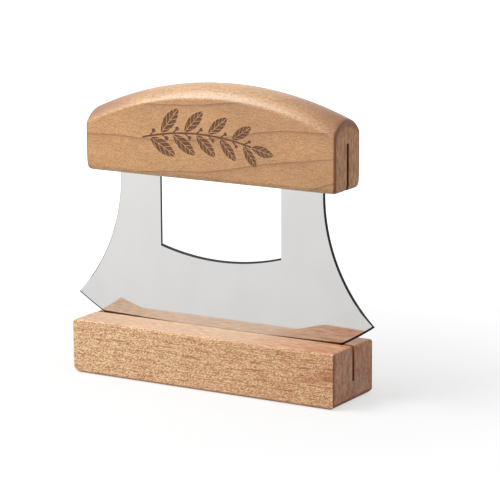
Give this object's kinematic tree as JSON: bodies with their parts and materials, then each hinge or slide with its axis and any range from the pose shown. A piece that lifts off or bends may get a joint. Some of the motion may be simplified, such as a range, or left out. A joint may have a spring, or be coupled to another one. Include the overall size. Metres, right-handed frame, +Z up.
{
  "type": "ulu knife",
  "caption": "Crescent knife: a polished steel blade with a finger gap, glued into a crowned wooden handle, resting edge down in the slot of a wooden block.",
  "frame": {"origin": "under the middle of the blade, on the surface that the stand rests on", "axes": "+X along the blade, +Y from the front to the back, +Z up"},
  "size_m": [0.1688, 0.0388, 0.1482],
  "materials": {
    "stand_wood": "sawn and lightly sanded pale hardwood, reddish on the end grain",
    "blade_steel": "mirror-polished stainless steel, not plated",
    "handle_wood": "sanded and oiled hardwood, satin",
    "cured_glue": "cured epoxy, hidden in the handle"
  },
  "bodies": {
    "stand": {"stand_block": "stand_wood"},
    "knife": {"blade": "blade_steel", "handle": "handle_wood", "tang_bond_left": "cured_glue", "tang_bond_right": "cured_glue"}
  },
  "joints": [
    {"name": "knife_lift", "type": "slide", "parent": "stand", "child": "knife", "axis": [0, 0, 1], "range_m": [0, 0.05]}
  ]
}
